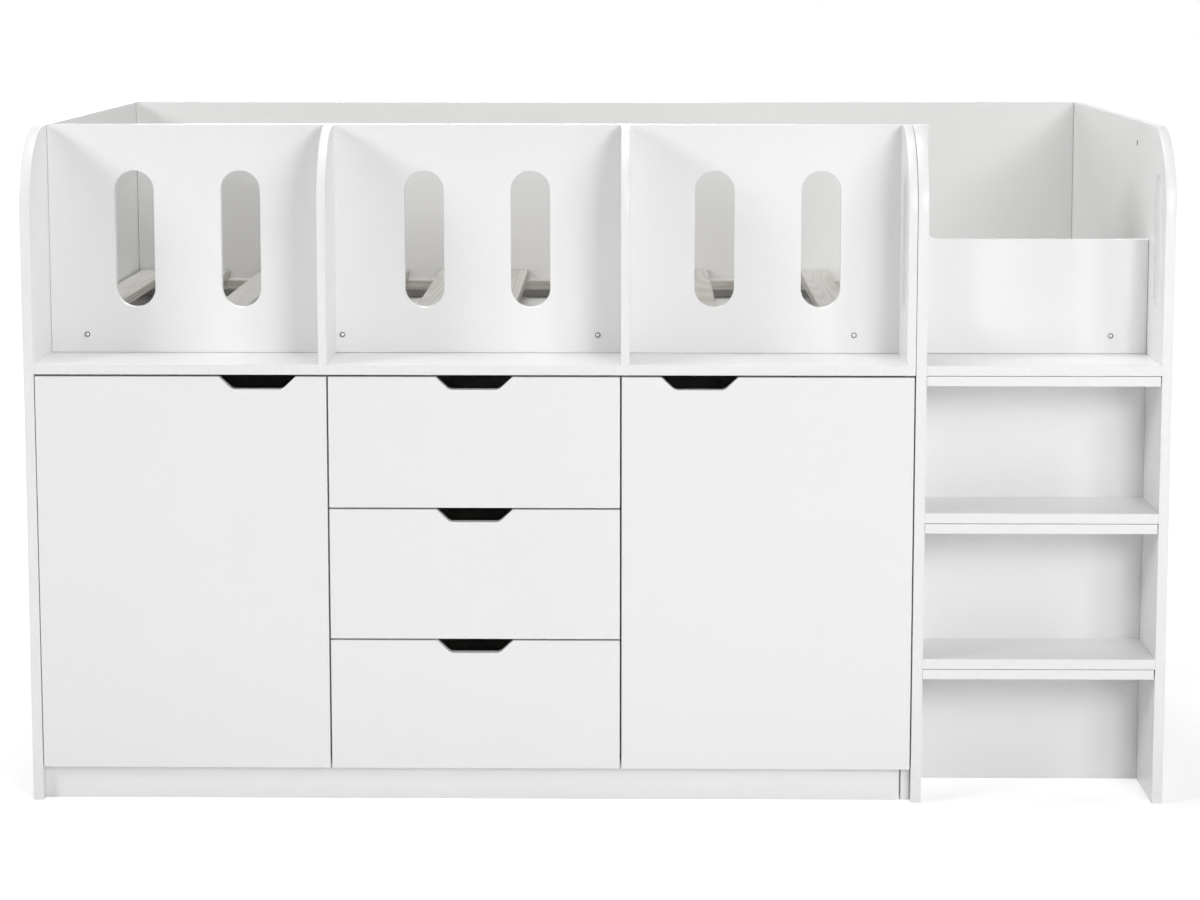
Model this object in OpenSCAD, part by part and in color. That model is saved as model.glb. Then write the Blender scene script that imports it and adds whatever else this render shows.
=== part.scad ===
// Mid-height cabin bed: a single bed base over open cubbies, two cupboards, three drawers and steps.
// Millimetres, Z up. X runs along the bed, the front faces -Y, and the origin is on the floor
// under the middle of the bed. Depths in this file (names ending in _d) are measured back from
// the front plane, where the end panels, doors, drawer fronts and treads all end.

/* [Mattress well] */
// Length of the mattress
mattress_l = 1900; // [1850:10:2000]
// Width of the mattress
mattress_w = 900; // [880:10:1000]
// Play past each end of the mattress
end_play = 22; // [5:1:30]
// Play along each side of the mattress
side_play = 4.5; // [2:0.5:10]

/* [Boards] */
// Overall height of the bed
bed_h = 1178; // [1120:1:1250]
// Thickness of the main boards
board_t = 18; // [16:1:22]
// Thickness of the cabinet's inner boards
slim_t = 15; // [12:1:16]
// Radius of the front top corner of every upright end board
corner_r = 145; // [60:1:150]

/* [Guards] */
// Height of the front and rear guard boards
guard_h = 405; // [380:1:420]
// Height of the guard where the steps come up
entry_h = 203; // [150:1:220]
// Radius where the guard drops to the entry
entry_r = 20; // [5:1:40]
// How far the tall part of the guard runs past the board beside the steps
entry_lap = 13; // [5:1:30]
// Width of each guard slot
slot_w = 70; // [50:1:80]
// Height of each guard slot and hand grip
slot_h = 243; // [180:1:250]
// Distance between the two slots of a pair
slot_gap = 188; // [160:1:200]
// Distance between the pairs of slots
pair_pitch = 513; // [500:1:520]
// Width of a hand grip
grip_w = 58; // [40:1:70]
// Depth of the middle of a hand grip
grip_d = 80; // [60:1:90]

/* [Cubbies and cabinet] */
// Depth of the open cubbies in front of the guard
cubby_d = 163; // [160:1:200]
// Depth of the cabinet below
cabinet_d = 520; // [480:10:600]
// Height of the plinth
plinth_h = 56; // [40:1:80]
// Gap between neighbouring fronts
front_gap = 3; // [2:0.5:4]
// Gap over the plinth and under the cabinet top
rest_gap = 3.5; // [3:0.5:5]
// Thickness of the hardboard back
back_t = 3; // [3:1:6]

/* [Finger cut-outs] */
// Width of a cut-out along the top edge
notch_w = 133; // [100:1:150]
// Height of a cut-out
notch_h = 22; // [16:1:26]
// Slope of its ends
notch_slope = 43; // [35:1:55]
// Distance of the left door's cut-out from its opening edge
left_notch = 121; // [90:1:200]
// Distance of the right door's cut-out from its opening edge
right_notch = 136; // [90:1:200]

/* [Steps] */
// Clear width of the steps
step_w = 404; // [380:1:420]
// Height of the rail under the front of each tread
rail_h = 18; // [15:1:30]
// Depth of that rail
rail_d = 40; // [18:1:60]

/* [Bed base] */
// Number of slats
slat_n = 16; // [12:1:18]
// Width of a slat
slat_w = 60; // [50:1:70]
// Thickness of a slat
slat_t = 18; // [15:1:20]
// Height of the slats over the cabinet top
slat_lift = 38; // [36:1:44]
// Height of the battens that carry the slats
ledger_h = 20; // [18:1:25]
// Depth of those battens
ledger_w = 40; // [30:1:45]
// Distance between the bolts that hold the front batten
bolt_pitch = 454; // [420:1:460]

/* [Drawers] */
// Thickness of the drawer box boards
box_t = 12; // [10:1:15]
// Height of the drawer box
box_h = 150; // [120:1:170]
// Length of the drawer box behind its front
box_l = 430; // [380:10:450]
// Room for a runner on each side
runner_w = 12.5; // [12:0.5:14]

/* [Hinges] */
// Distance of the hinges from the ends of a door
hinge_end = 92; // [80:1:140]
// Diameter of a hinge cup
cup_dia = 35; // [26:1:35]
// Distance of the cup's middle from the door's edge
cup_u = 22; // [22:0.5:24]

/* [Hidden] */
$fn = 96;

white = [0.94, 0.94, 0.93];
raw_board = [0.86, 0.82, 0.74];
pine = [0.87, 0.76, 0.58];
steel = [0.72, 0.73, 0.75];

// Overall sizes
well_d = mattress_w + 2 * side_play;
bed_w = mattress_l + 2 * end_play + 2 * board_t;
bed_d = cubby_d + well_d + 2 * board_t;
in_x = bed_w / 2 - board_t;                 // inner face of both end panels
deck_z = bed_h - guard_h;                   // top of the cabinet and of the top tread
well_front_d = cubby_d + board_t;
well_back_d = well_front_d + well_d;

// Steps and cabinet along X
stair_x = in_x - step_w;                    // left end of the treads
stair_side_x = stair_x - board_t;
seam = 1;                                   // joint between the cabinet and the steps
cab_x = stair_side_x - seam;                // right face of the cabinet
bay_w = (cab_x + in_x) / 3;
bay_x = [for (i = [0:3]) -in_x + i * bay_w];
part_x = [bay_x[1] - slim_t, bay_x[2]];     // left faces of the two partitions and dividers
side_x = cab_x - slim_t;
rise = deck_z / 3;

// Cabinet fronts
top_under_z = deck_z - board_t;
carcass_d = board_t + 2;                    // front edges of the carcass, behind the fronts
front_z = plinth_h + rest_gap;
front_h = top_under_z - rest_gap - front_z;
drawer_h = (front_h - 2 * front_gap) / 3;
front_w = bay_w - front_gap;
floor_z = plinth_h + slim_t;

// Rear boards under the rear guard, and the drawers' hardboard bottoms
rear_rail_h = 150;
low_rail_h = 100;
flat_rail_w = 200;
bottom_lift = 10;
bottom_t = 4;

// Bed base
slat_z = deck_z + slat_lift;                // underside of the slats
slat_play = 6;
slat_pitch = (2 * in_x - 2 * slat_play - slat_w) / (slat_n - 1);

// ---- placing boards ----

// A board across the bed: the outline is drawn in X and Z, and the board runs back from depth d.
module across(d, t) {
    translate([0, d + t - bed_d / 2, 0]) rotate([90, 0, 0]) linear_extrude(t) children();
}

// A board along the depth: the outline is drawn in depth and Z, and the board runs right from x.
module along(x, t) {
    translate([x, -bed_d / 2, 0]) rotate([90, 0, 90]) linear_extrude(t) children();
}

// A flat board between two X values, two depths and two heights.
module slab(x, d, z) {
    translate([x[0], d[0] - bed_d / 2, z[0]]) cube([x[1] - x[0], d[1] - d[0], z[1] - z[0]]);
}

// ---- outlines ----

module rect(a, b) {
    translate(a) square(b - a);
}

// A slot with round ends, standing upright about its middle.
module capsule(w, h) {
    rect([-w / 2, -h / 2 + w / 2], [w / 2, h / 2 - w / 2]);
    for (s = [-1, 1]) translate([0, s * (h - w) / 2]) circle(d = w);
}

// Upright board seen from its side, with its front top corner rounded.
module end_outline(depth, z) {
    rect([0, z], [depth, bed_h - corner_r]);
    rect([corner_r, bed_h - corner_r - 1], [depth, bed_h]);
    translate([corner_r, bed_h - corner_r]) intersection() {
        circle(r = corner_r, $fn = 192);
        rect([-corner_r, 0], [1, corner_r]);
    }
}

module grip_outline() {
    translate([grip_d, deck_z + guard_h / 2]) capsule(grip_w, slot_h);
}

function arc(centre, r, from, to, n = 8) =
    [for (i = [0:n]) let (a = from + (to - from) * i / n) centre + r * [cos(a), sin(a)]];

// Finger cut-out in a top edge at height zero: sloping ends, eased at the edge and at the bottom.
module notch_outline() {
    edge_r = 4;
    root_r = 14;
    half = notch_w / 2;
    turn = tan(notch_slope / 2);
    foot = half - notch_h / tan(notch_slope);
    lip = half + edge_r * turn;
    right = concat([[lip, 1]], arc([lip, -edge_r], edge_r, 90, 90 + notch_slope),
        arc([foot - root_r * turn, root_r - notch_h], root_r, notch_slope - 90, -90));
    left = [for (i = [len(right) - 1:-1:0]) [-right[i][0], right[i][1]]];
    polygon(concat(right, left));
}

// ---- frame ----

module left_end_panel() {
    color(white) along(-bed_w / 2, board_t) end_outline(bed_d, 0);
}

// The right end panel has the hand grip beside the steps and one spare fixing hole inside.
module right_end_panel() {
    hole_d = 310;
    hole_z = bed_h - 40;
    hole_deep = 10;
    color(white) difference() {
        along(in_x, board_t) difference() {
            end_outline(bed_d, 0);
            grip_outline();
        }
        translate([in_x - 1, hole_d - bed_d / 2, hole_z])
            rotate([0, 90, 0]) cylinder(d = 12, h = hole_deep + 1);
    }
}

module rear_board(z, h) {
    color(white) slab([-in_x, in_x], [well_back_d, bed_d], [z, z + h]);
}

module rear_guard_panel() { rear_board(deck_z, guard_h); }
module rear_middle_rail() { rear_board(deck_z - rear_rail_h, rear_rail_h); }
module rear_bottom_rail() { rear_board(plinth_h, low_rail_h); }

// A board laid flat against the rear boards, level with the cabinet's top.
module rear_flat_rail() {
    color(white) slab([-in_x, in_x], [well_back_d - flat_rail_w, well_back_d], [top_under_z, deck_z]);
}

// One board runs the whole length: tall with three pairs of slots, then low behind the top tread.
module front_guard_panel() {
    drop_x = stair_x + entry_lap;
    entry_z = deck_z + entry_h;
    first_pair = (part_x[0] - in_x) / 2;
    color(white) across(cubby_d, board_t) difference() {
        rect([-in_x, deck_z], [in_x, bed_h]);
        rect([drop_x + entry_r, entry_z], [in_x + 1, bed_h + 1]);
        rect([drop_x, entry_z + entry_r], [drop_x + entry_r + 1, bed_h + 1]);
        translate([drop_x + entry_r, entry_z + entry_r]) circle(r = entry_r);
        for (bay = [0:2], s = [-1, 1])
            translate([first_pair + bay * pair_pitch + s * slot_gap / 2, deck_z + guard_h / 2])
                capsule(slot_w, slot_h);
    }
}

// ---- cubbies ----

module cabinet_top() {
    color(white) slab([-in_x, cab_x], [0, cabinet_d], [top_under_z, deck_z]);
}

module cubby_divider(x) {
    color(white) along(x, slim_t) end_outline(cubby_d, deck_z);
}

module cubby_end_divider() {
    color(white) along(side_x, slim_t) difference() {
        end_outline(cubby_d, deck_z);
        grip_outline();
    }
}

// ---- steps ----

module stair_side_panel() {
    color(white) along(stair_side_x, board_t) difference() {
        end_outline(cubby_d, 0);
        grip_outline();
    }
}

// Treads are counted from the floor. The top one also carries the low end of the guard.
module tread(n) {
    depth = n == 3 ? well_front_d : cubby_d;
    color(white) slab([stair_x, in_x], [0, depth], [n * rise - board_t, n * rise]);
}

module tread_rail(n) {
    z = n * rise - board_t;
    play = 0.5;
    color(white) slab([stair_x + play, in_x - play], [0, rail_d], [z - rail_h, z]);
}

module stair_riser() {
    color(white) slab([stair_x, in_x], [cubby_d, well_front_d], [0, top_under_z]);
}

// ---- cabinet ----

module plinth() {
    setback = 18;
    gap = 1.5;
    color(white) slab([-in_x, side_x - gap], [setback, setback + slim_t], [0, plinth_h]);
}

module cabinet_floor() {
    color(white) slab([-in_x, side_x], [carcass_d, cabinet_d - back_t], [plinth_h, floor_z]);
}

module partition(x) {
    color(white) slab([x, x + slim_t], [carcass_d, cabinet_d - back_t], [floor_z, top_under_z]);
}

module cabinet_side() {
    color(white) slab([side_x, cab_x], [carcass_d, cabinet_d], [0, top_under_z]);
}

module cabinet_back() {
    color(white) slab([-in_x, side_x], [cabinet_d - back_t, cabinet_d], [plinth_h, top_under_z]);
}

// Clear widths of the left and right cupboard
cupboard_x = [[-in_x, part_x[0]], [part_x[1] + slim_t, side_x]];
shelf_z = floor_z + (top_under_z - floor_z) / 2;
shelf_d = [80, cabinet_d - back_t - 2];
pin_r = 2.5;

module cupboard_shelf(i) {
    play = 1;
    x = cupboard_x[i];
    color(white) slab([x[0] + play, x[1] - play], shelf_d, [shelf_z, shelf_z + slim_t]);
}

// Four steel pins carry each shelf.
module shelf_pins() {
    pin_l = 9;
    inset = 40;
    color(steel) for (x = cupboard_x, d = [shelf_d[0] + inset, shelf_d[1] - inset])
        for (start = [x[0], x[1] - pin_l])
            translate([start, d - bed_d / 2, shelf_z - pin_r]) rotate([0, 90, 0])
                cylinder(r = pin_r, h = pin_l);
}

// ---- bed base ----

module ledger(d) {
    color(pine) slab([-in_x, in_x], [d, d + ledger_w], [slat_z - ledger_h, slat_z]);
}

function slat_x(i) = slat_play - in_x + i * slat_pitch;

// Runs its children at the place of each screw, one at each end of each slat.
screw_r = 4;
screw_sink = 3;
module at_screws() {
    inset = ledger_w / 2;
    for (i = [0:slat_n - 1], d = [well_front_d + inset, well_back_d - inset])
        translate([slat_x(i) + slat_w / 2, d - bed_d / 2, slat_z + slat_t - screw_sink]) children();
}

module bed_slats() {
    play = 2;
    color(pine) difference() {
        for (i = [0:slat_n - 1])
            slab([slat_x(i), slat_x(i) + slat_w], [well_front_d + play, well_back_d - play],
                [slat_z, slat_z + slat_t]);
        at_screws() cylinder(r = screw_r + 0.2, h = screw_sink + 1);
    }
}

// The screw heads lie just under the slats' surface.
module slat_screws() {
    color(steel) at_screws() cylinder(r = screw_r, h = screw_sink - 0.4);
}

// Domed bolt heads on the guard, each with its washer and nut behind the front batten.
module guard_bolts() {
    head_r = 5;
    head_h = 2.6;
    nut_r = 5.5;
    nut_h = 4;
    bolt_z = slat_z - 0.3 * ledger_h;
    color(steel) for (i = [-2:2]) translate([i * bolt_pitch, -bed_d / 2, bolt_z]) {
        translate([0, cubby_d, 0]) rotate([90, 0, 0]) {
            cylinder(r = head_r, h = head_h / 2);
            cylinder(r = head_r * 0.8, h = head_h);
        }
        translate([0, well_front_d + ledger_w, 0]) rotate([-90, 0, 0])
            cylinder(r = nut_r, h = nut_h);
    }
}

// ---- drawers ----

// Drawers are counted from the bottom.
function drawer_z(n) = front_z + (n - 1) * (drawer_h + front_gap);
box_lift = 24;                              // underside of the box over the underside of the front
box_x = [bay_x[1] + runner_w, bay_x[2] - runner_w];
box_d = [board_t, board_t + box_l];

module drawer_front(n) {
    x = bay_x[1] + front_gap / 2;
    z = drawer_z(n);
    color(white) across(0, board_t) difference() {
        rect([x, z], [x + front_w, z + drawer_h]);
        translate([x + front_w / 2, z + drawer_h]) notch_outline();
    }
}

module drawer_side(n, x) {
    z = drawer_z(n) + box_lift;
    color(white) slab([x, x + box_t], box_d, [z, z + box_h]);
}

module drawer_back(n) {
    z = drawer_z(n) + box_lift;
    color(white) slab([box_x[0] + box_t, box_x[1] - box_t], [box_d[1] - box_t, box_d[1]],
        [z + bottom_lift + bottom_t, z + box_h]);
}

// The hardboard bottom is held between the sides, under the back.
module drawer_bottom(n) {
    z = drawer_z(n) + box_lift + bottom_lift;
    color(raw_board) slab([box_x[0] + box_t, box_x[1] - box_t], box_d, [z, z + bottom_t]);
}

// Steel roller runners. Outlines are drawn from the wall, with the drawer towards +x, and heights
// are over the underside of the drawer box.
rail_t = 1.2;
fixed_rail_z = [-3, 24];
fixed_flange = 8;
moving_top_z = 19;
moving_lip_x = 4;
roller_r = 8;
roller_w = 5;
roller_z = moving_top_z - rail_t - roller_r - 0.8;

// Fixed rail: a channel open towards the drawer.
module fixed_rail_outline() {
    rect([0, fixed_rail_z[0]], [rail_t, fixed_rail_z[1]]);
    rect([0, fixed_rail_z[0]], [fixed_flange, fixed_rail_z[0] + rail_t]);
    rect([0, fixed_rail_z[1] - rail_t], [fixed_flange, fixed_rail_z[1]]);
}

// Moving rail: hooks under the drawer side and turns out over the roller.
module moving_rail_outline() {
    rect([runner_w - rail_t, -rail_t], [runner_w + box_t, 0]);
    rect([runner_w - rail_t, -rail_t], [runner_w, moving_top_z]);
    rect([moving_lip_x, moving_top_z - rail_t], [runner_w, moving_top_z]);
}

// One runner pair, mirrored about the middle of the drawer bay.
module runner_pair() {
    for (s = [0, 1]) translate([(bay_x[1] + bay_x[2]) / 2, 0, 0]) mirror([s, 0, 0])
        translate([-bay_w / 2, 0, 0]) children();
}

// A roller with its left face at x and its middle at depth d.
module roller(x, d, z) {
    translate([x, d - bed_d / 2, z + roller_z]) rotate([0, 90, 0])
        cylinder(r = roller_r, h = roller_w);
}

module cabinet_runners() {
    setback = 6;
    front_end = carcass_d + setback;
    color(steel) for (n = [1:3]) runner_pair() {
        z = drawer_z(n) + box_lift;
        translate([0, 0, z]) across(front_end, box_l - 20) fixed_rail_outline();
        roller(rail_t, front_end + roller_r + 2, z);
    }
}

module drawer_runners(n) {
    end_gap = 6;
    z = drawer_z(n) + box_lift;
    color(steel) runner_pair() {
        translate([0, 0, z]) across(box_d[0], box_l) moving_rail_outline();
        roller(runner_w - rail_t - roller_w, box_d[1] - roller_r - end_gap, z);
    }
}

// ---- doors and their concealed hinges ----

// Hinge parts are drawn for a door that opens to the left: u runs along the door from its hinged
// corner, v runs back from its front face, and the door turns about that front corner.
open_angle = 95;
pivot_u = 20;
pivot_v = 13.5;
link_l = 48;
link_t = 2.5;
link_w = 10;
link_angle = 12;                            // lean of a link away from v when the door is shut
hinge_z = [front_z + hinge_end, front_z + front_h - hinge_end];
cup_v = [board_t - 12, board_t];

// Puts a door's hinge parts at its hinged corner; the right door is the mirror image.
module at_door(right) {
    x = right ? cab_x - front_gap / 2 : front_gap / 2 - in_x;
    translate([x, -bed_d / 2, 0]) mirror([right ? 1 : 0, 0, 0]) children();
}

module door(right) {
    notch_u = front_w - (right ? right_notch : left_notch) + front_gap / 2;
    color(white) at_door(right) difference() {
        translate([0, board_t, 0]) rotate([90, 0, 0]) linear_extrude(board_t) difference() {
            rect([0, front_z], [front_w, front_z + front_h]);
            translate([notch_u, front_z + front_h]) notch_outline();
        }
        for (z = hinge_z) translate([cup_u, cup_v[0], z]) rotate([-90, 0, 0])
            cylinder(d = cup_dia, h = board_t);
    }
}

// A pressed cup with its flange, two ears and the pin that the link turns on.
module hinge_cups(right) {
    wall = 1.5;
    flange_t = 1;
    bore = cup_dia / 2 - wall;
    ear = [12, flange_t, 52];
    mouth_u = 10;                           // the link leaves the cup on this side of its middle
    mouth_h = link_w + 4;
    color(steel) at_door(right) for (z = hinge_z) translate([cup_u, 0, z]) {
        difference() {
            union() {
                translate([0, cup_v[0], 0]) rotate([-90, 0, 0])
                    cylinder(d = cup_dia, h = cup_v[1] - cup_v[0]);
                translate([0, cup_v[1], 0]) rotate([-90, 0, 0])
                    cylinder(r = cup_dia / 2 + 1, h = flange_t);
                translate([-ear[0] / 2, cup_v[1], -ear[2] / 2]) cube(ear);
            }
            translate([0, cup_v[0] + 1, 0]) rotate([-90, 0, 0]) cylinder(r = bore, h = board_t);
            translate([-cup_dia, cup_v[1] - 1, -mouth_h / 2])
                cube([cup_dia - mouth_u, flange_t + 2, mouth_h]);
        }
        translate([pivot_u - cup_u, pivot_v, 0])
            cylinder(r = 1.25, h = 2 * bore + 0.2, center = true);
    }
}

// The link turns on the cup's pin, and its far end slides in the arm as the door opens.
module hinge_links(right) {
    color(steel) at_door(right) for (z = hinge_z)
        translate([pivot_u, pivot_v, z - link_w / 2]) difference() {
            rotate(-link_angle) union() {
                cylinder(r = 3, h = link_w);
                translate([-link_t / 2, 0, 0]) cube([link_t, link_l, link_w]);
                translate([0, link_l, 0]) cylinder(r = link_t / 2, h = link_w);
            }
            translate([0, 0, -1]) cylinder(r = 1.6, h = link_w + 2);
        }
}

// Plate screwed to the wall beside the door, and the arm: two cheeks, a back and a block.
module hinge_arms(right) {
    plate = [3, 26, 48];
    plate_v = 46;
    block_u = 24;
    block_v = [50, 72];
    cheek_t = 1.5;
    nose_u = 22;
    arm_u = 45;
    arm_v = [30, 78];
    slope = 6;
    half = link_w / 2 + 1;
    wall_u = right ? slim_t - front_gap / 2 : -front_gap / 2;
    plate_u = wall_u + plate[0];
    cheek_u = max(plate_u, 10);
    color(steel) at_door(right) for (z = hinge_z) translate([0, 0, z]) {
        translate([wall_u, plate_v, -plate[2] / 2]) cube(plate);
        translate([plate_u, block_v[0], -half])
            cube([block_u - plate_u, block_v[1] - block_v[0], 2 * half]);
        for (s = [-half - cheek_t, half]) translate([0, 0, s]) linear_extrude(cheek_t)
            polygon([[cheek_u, plate_v], [nose_u, arm_v[0]], [arm_u, arm_v[0] + slope],
                [arm_u, arm_v[1]], [cheek_u, arm_v[1] - slope]]);
        translate([arm_u - cheek_t, arm_v[0] + slope, -half])
            cube([cheek_t, arm_v[1] - arm_v[0] - slope, 2 * half]);
    }
}

// ---- the parts ----

left_end_panel();
right_end_panel();
rear_guard_panel();
rear_middle_rail();
rear_bottom_rail();
rear_flat_rail();
front_guard_panel();
cabinet_top();
cubby_divider(part_x[0]);  // cubby_divider_left
cubby_divider(part_x[1]);  // cubby_divider_right
cubby_end_divider();
stair_side_panel();
tread(3);  // top_tread
tread(2);  // middle_tread
tread(1);  // bottom_tread
tread_rail(3);  // top_tread_rail
tread_rail(2);  // middle_tread_rail
tread_rail(1);  // bottom_tread_rail
stair_riser();
plinth();
cabinet_floor();
partition(part_x[0]);  // partition_left
partition(part_x[1]);  // partition_right
cabinet_side();
cabinet_back();
cupboard_shelf(0);  // left_cupboard_shelf
cupboard_shelf(1);  // right_cupboard_shelf
shelf_pins();
ledger(well_front_d);  // front_ledger
ledger(well_back_d - ledger_w);  // rear_ledger
bed_slats();
slat_screws();
guard_bolts();
cabinet_runners();
drawer_front(3);  // top_drawer_front
drawer_side(3, box_x[0]);  // top_drawer_left
drawer_side(3, box_x[1] - box_t);  // top_drawer_right
drawer_back(3);  // top_drawer_back
drawer_bottom(3);  // top_drawer_bottom
drawer_runners(3);  // top_drawer_runners
drawer_front(2);  // middle_drawer_front
drawer_side(2, box_x[0]);  // middle_drawer_left
drawer_side(2, box_x[1] - box_t);  // middle_drawer_right
drawer_back(2);  // middle_drawer_back
drawer_bottom(2);  // middle_drawer_bottom
drawer_runners(2);  // middle_drawer_runners
drawer_front(1);  // bottom_drawer_front
drawer_side(1, box_x[0]);  // bottom_drawer_left
drawer_side(1, box_x[1] - box_t);  // bottom_drawer_right
drawer_back(1);  // bottom_drawer_back
drawer_bottom(1);  // bottom_drawer_bottom
drawer_runners(1);  // bottom_drawer_runners
door(false);  // left_door
hinge_cups(false);  // left_hinge_cups
hinge_links(false);  // left_hinge_links
hinge_arms(false);  // left_hinge_arms
door(true);  // right_door
hinge_cups(true);  // right_hinge_cups
hinge_links(true);  // right_hinge_links
hinge_arms(true);  // right_hinge_arms
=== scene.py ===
import math

import bmesh
import bpy
from mathutils import Matrix, Vector


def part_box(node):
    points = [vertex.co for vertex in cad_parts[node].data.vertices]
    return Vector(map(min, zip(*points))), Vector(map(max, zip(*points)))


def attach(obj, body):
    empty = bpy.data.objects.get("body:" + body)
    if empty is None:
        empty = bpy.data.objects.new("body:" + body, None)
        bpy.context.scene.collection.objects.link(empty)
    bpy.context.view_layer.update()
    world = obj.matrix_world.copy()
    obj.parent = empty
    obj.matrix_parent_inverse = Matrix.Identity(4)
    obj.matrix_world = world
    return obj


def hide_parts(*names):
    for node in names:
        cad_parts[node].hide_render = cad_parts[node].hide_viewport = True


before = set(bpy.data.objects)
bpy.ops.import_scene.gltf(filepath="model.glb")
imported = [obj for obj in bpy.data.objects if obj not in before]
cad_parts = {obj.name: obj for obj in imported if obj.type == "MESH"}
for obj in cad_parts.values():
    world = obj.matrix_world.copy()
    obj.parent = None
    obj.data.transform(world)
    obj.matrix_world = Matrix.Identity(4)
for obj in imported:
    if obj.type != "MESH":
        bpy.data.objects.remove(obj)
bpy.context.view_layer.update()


# ---- End boards -----------------------------------------------------------------------------
# Two boards of 18 mm chipboard, faced with white melamine, stand on the floor and carry all the
# rest. A thin plastic band is glued round their edges; the front top corner is rounded, the foot
# is left raw, and the right one has a hand grip cut through it beside the steps.

class Wire:
    """One output of a material's node. Sums and products of wires add Math nodes."""

    def __init__(self, socket):
        self.socket = socket

    def node(self, kind, settings, sockets, out=0):
        """Adds a node to the same material: first its settings, then its sockets' values or
        links."""
        tree = self.socket.id_data
        added = tree.nodes.new("ShaderNode" + kind)
        for key, value in settings.items():
            if key == "stops":
                ramp = added.color_ramp.elements
                while len(ramp) < len(value):
                    ramp.new(1.0)
                for stop, (at, colour) in zip(ramp, value):
                    stop.position, stop.color = at, (*colour, 1.0)
            else:
                setattr(added, key, value)
        for key, value in sockets.items():
            if isinstance(value, Wire):
                tree.links.new(value.socket, added.inputs[key])
            else:
                added.inputs[key].default_value = value
        return Wire(added.outputs[out])

    def __add__(self, other):
        return self.node("Math", {"operation": "ADD"}, {0: self, 1: other})

    def __mul__(self, other):
        return self.node("Math", {"operation": "MULTIPLY"}, {0: self, 1: other})

    __radd__ = __add__
    __rmul__ = __mul__

    def noise(self, per_metre, detail=2.0, stretch=(1, 1, 1)):
        """Smooth noise from 0 to 1, with so many swells to the metre along each axis."""
        scale = [per_metre * share for share in stretch]
        at = self.node("Mapping", {}, {"Vector": self, "Scale": scale})
        return at.node("TexNoise", {}, {"Vector": at, "Scale": 1.0, "Detail": detail})

    def ramp(self, *stops):
        """A colour that changes with the wire's value, from stop to stop."""
        return self.node("ValToRGB", {"stops": stops}, {"Fac": self})


def finish(name, mix, metallic=0.0, relief=0.001):
    """A material. mix takes the place on the piece and gives colour, roughness and height,
    where a height of 1 stands out by relief metres."""
    made = bpy.data.materials.new(name)
    made.use_nodes = True
    tree = made.node_tree
    shader = tree.nodes["Principled BSDF"]
    shader.inputs["Metallic"].default_value = metallic
    place = Wire(tree.nodes.new("ShaderNodeTexCoord").outputs["Object"])
    colour, roughness, height = mix(place)
    bump = place.node("Bump", {}, {"Strength": 1.0, "Distance": relief, "Height": height})
    for key, wire in (("Base Color", colour), ("Roughness", roughness), ("Normal", bump)):
        tree.links.new(wire.socket, shader.inputs[key])
    return made


def melamine(place):
    """A hard white foil with the faintest orange-peel surface."""
    cloud = place.noise(2.3)
    peel = place.noise(520, 3.0)
    colour = (cloud * 0.7 + peel * 0.3).ramp((0.3, (0.865, 0.866, 0.863)),
                                             (0.7, (0.888, 0.888, 0.886)))
    return colour, cloud * 0.06 + peel * 0.08 + 0.25, peel * 0.018


def plastic_band(place):
    """A thin white strip of plastic, a little duller than the foil."""
    streak = place.noise(160, 2.0)
    colour = streak.ramp((0.3, (0.86, 0.862, 0.858)), (0.7, (0.885, 0.885, 0.883)))
    return colour, streak * 0.1 + 0.3, streak * 0.02


def chipboard(place):
    """The board's raw core, pressed from chips of a few millimetres."""
    flakes = place.node("TexVoronoi", {}, {"Vector": place, "Scale": 420.0}, out="Color")
    chips = flakes.node("SeparateColor", {}, {"Color": flakes})
    colour = chips.ramp((0.0, (0.36, 0.25, 0.15)), (0.5, (0.55, 0.42, 0.28)),
                        (1.0, (0.68, 0.55, 0.38)))
    return colour, chips * 0.1 + 0.8, chips * 0.35


# What a piece is coated with: its slot, then its materials. A board's are for its broad sides,
# its edges and whatever is left raw.
white_foil = finish("white_melamine", melamine)
white_band = finish("white_edge_band", plastic_band)
raw_core = finish("raw_chipboard", chipboard)
WHITE_BOARD = ("white_board", [white_foil, white_band, raw_core])
RAW = 2

# Points closer than TOUCHING are one. An edge or a face is aligned with an axis that takes more
# than ALIGNED of its direction. An edge is sharp where it turns by more than SHARP radians.
TOUCHING, ALIGNED, SHARP = 1e-6, 0.9999, 0.35
# Axes by number, as a corner or an edge's direction counts them.
X, Y = 0, 1


def block(low, high):
    """A square-edged block between two corners."""
    bm = bmesh.new()
    bmesh.ops.create_cube(bm, size=1.0)
    low, high = Vector(low), Vector(high)
    bmesh.ops.scale(bm, vec=high - low, verts=bm.verts)
    bmesh.ops.translate(bm, vec=(low + high) / 2, verts=bm.verts)
    return bm


def runs_along(edge, axis):
    run = edge.verts[1].co - edge.verts[0].co
    return abs(run[axis]) > ALIGNED * run.length


def round_over(bm, edges, radius, segments):
    """Rounds edges, as a router does."""
    bmesh.ops.bevel(bm, geom=edges, offset=radius, segments=segments, profile=0.5,
                    affect="EDGES", material=-1, clamp_overlap=True)
    bmesh.ops.remove_doubles(bm, verts=bm.verts, dist=TOUCHING)


# Two roundings on one side stop just short of meeting.
FULL_ROUND = 0.9999


def plug(low, high, axis, radius, segments=16):
    """What a router or drill takes out: a block whose edges along one axis are rounded."""
    bm = block(low, high)
    along = [e for e in bm.edges if runs_along(e, axis)]
    round_over(bm, along, radius * FULL_ROUND, segments)
    return bm


def add_to(bm, part):
    """Moves all of one mesh into another."""
    spare = bpy.data.meshes.new("spare")
    part.to_mesh(spare)
    part.free()
    bm.from_mesh(spare)
    bpy.data.meshes.remove(spare)


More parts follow.
